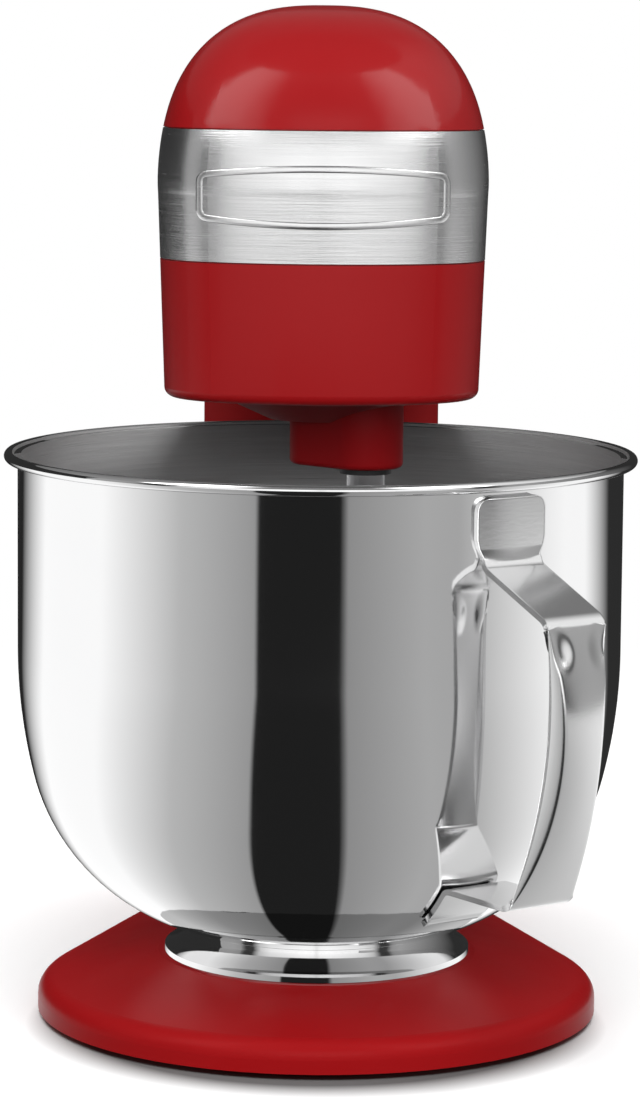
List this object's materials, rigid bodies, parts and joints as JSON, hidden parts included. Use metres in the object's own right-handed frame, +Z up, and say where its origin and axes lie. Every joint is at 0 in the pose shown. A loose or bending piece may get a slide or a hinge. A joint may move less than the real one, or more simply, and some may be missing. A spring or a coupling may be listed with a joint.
{
  "type": "stand mixer",
  "caption": "Tilt-head stand mixer with a twist-lock steel bowl, planetary beater drive, side speed dial and head release lever.",
  "frame": {"origin": "bottom centre of the whole mixer, on the table under its feet", "axes": "+Z up, front of the mixer towards -Y, +X to the right of someone facing its front"},
  "size_m": [0.2278, 0.3756, 0.3645],
  "materials": {
    "red_enamel": "gloss enamel",
    "polished_steel": "mirror polished",
    "brushed_plate": "fine brushed",
    "dial_metal": "satin",
    "black_plastic": "matte",
    "black_rubber": "matte",
    "zinc_screws": "zinc plated",
    "bright_steel": "ground",
    "gear_steel": "machined",
    "cast_aluminium": "as cast",
    "bronze": "sintered",
    "laminations": "stacked sheet",
    "board_green": "solder mask"
  },
  "bodies": {
    "base": {"pedestal": "red_enamel", "base_cover": "black_plastic", "cover_screws": "zinc_screws", "rubber_foot_1": "black_rubber", "rubber_foot_2": "black_rubber", "rubber_foot_3": "black_rubber", "rubber_foot_4": "black_rubber", "bowl_clamp": "bright_steel", "clamp_screws": "zinc_screws", "hinge_pin": "bright_steel", "cord_grommet": "black_rubber", "lock_spring": "bright_steel", "lock_bracket": "bright_steel"},
    "lock_pin": {"lock_pin": "bright_steel"},
    "release_lever": {"release_lever": "dial_metal"},
    "bowl": {"bowl": "polished_steel", "bowl_foot": "polished_steel", "bowl_handle": "polished_steel"},
    "head": {"head_lower_housing": "red_enamel", "head_upper_cover": "red_enamel", "front_plate": "brushed_plate", "shell_screws": "zinc_screws", "ring_gear": "gear_steel", "ring_screws": "zinc_screws", "gearbox_plate_lower": "cast_aluminium", "gearbox_plate_upper": "cast_aluminium", "gearbox_pillars": "cast_aluminium", "main_bearing_lower": "gear_steel", "main_bearing_upper": "gear_steel", "lay_bearing_lower": "gear_steel", "lay_bearing_upper": "gear_steel", "drive_belt": "black_rubber", "motor_stator": "laminations", "motor_bracket_lower": "cast_aluminium", "motor_bracket_upper": "cast_aluminium", "motor_bearing_lower": "bronze", "motor_bearing_upper": "bronze", "brush_holders": "black_plastic", "speed_switch": "black_plastic", "control_board": "board_green"},
    "dial": {"speed_dial": "dial_metal", "dial_spindle": "bright_steel"},
    "carrier": {"planetary_carrier": "red_enamel", "shaft_collar": "black_plastic", "beater_bush_lower": "bronze", "beater_bush_upper": "bronze", "main_shaft": "bright_steel", "main_gear": "gear_steel"},
    "beater": {"beater_shaft": "bright_steel", "beater_pin": "bright_steel", "beater_pinion": "gear_steel"},
    "layshaft": {"layshaft": "bright_steel", "lay_pinion": "gear_steel", "driven_pulley": "cast_aluminium"},
    "rotor": {"motor_shaft": "bright_steel", "rotor_core": "laminations", "commutator": "bronze", "motor_pulley": "cast_aluminium", "cooling_fan": "black_plastic"}
  },
  "joints": [
    {"name": "head_tilt", "type": "hinge", "parent": "base", "child": "head", "pos_m": [0, 0.1418, 0.219], "axis": [-1, 0, 0], "range_deg": [0, 45]},
    {"name": "bowl_twist", "type": "hinge", "parent": "base", "child": "bowl", "pos_m": [0, -0.0582, 0.0225], "axis": [0, 0, 1], "range_deg": [0, 30]},
    {"name": "release_lever_turn", "type": "hinge", "parent": "base", "child": "release_lever", "pos_m": [0.0465, 0.10708, 0.189], "axis": [1, 0, 0], "range_deg": [0, 30]},
    {"name": "lock_pin_slide", "type": "slide", "parent": "base", "child": "lock_pin", "axis": [0, 0, -1], "range_m": [0, 0.008], "stiffness_N_per_m": 400, "springref_m": -0.006, "deforming": ["lock_spring"]},
    {"name": "dial_turn", "type": "hinge", "parent": "head", "child": "dial", "pos_m": [0.0578, 0.1068, 0.289], "axis": [1, 0, 0], "range_deg": [0, 270]},
    {"name": "carrier_spin", "type": "hinge", "parent": "head", "child": "carrier", "pos_m": [0, -0.0582, 0.2275], "axis": [0, 0, 1], "continuous": true},
    {"name": "beater_spin", "type": "hinge", "parent": "carrier", "child": "beater", "pos_m": [0.01598, -0.07064, 0.201], "axis": [0, 0, 1], "continuous": true},
    {"name": "layshaft_spin", "type": "hinge", "parent": "head", "child": "layshaft", "pos_m": [0, -0.00195, 0.2601], "axis": [0, 0, 1], "continuous": true},
    {"name": "rotor_spin", "type": "hinge", "parent": "head", "child": "rotor", "pos_m": [0, 0.0728, 0.2536], "axis": [0, 0, 1], "continuous": true}
  ],
  "couplings": [
    {"joint": "release_lever_turn", "follows": "lock_pin_slide", "rad_per_m": 65.45},
    {"joint": "beater_spin", "follows": "carrier_spin", "ratio": -2.8},
    {"joint": "layshaft_spin", "follows": "carrier_spin", "ratio": -4},
    {"joint": "rotor_spin", "follows": "carrier_spin", "ratio": -12}
  ]
}
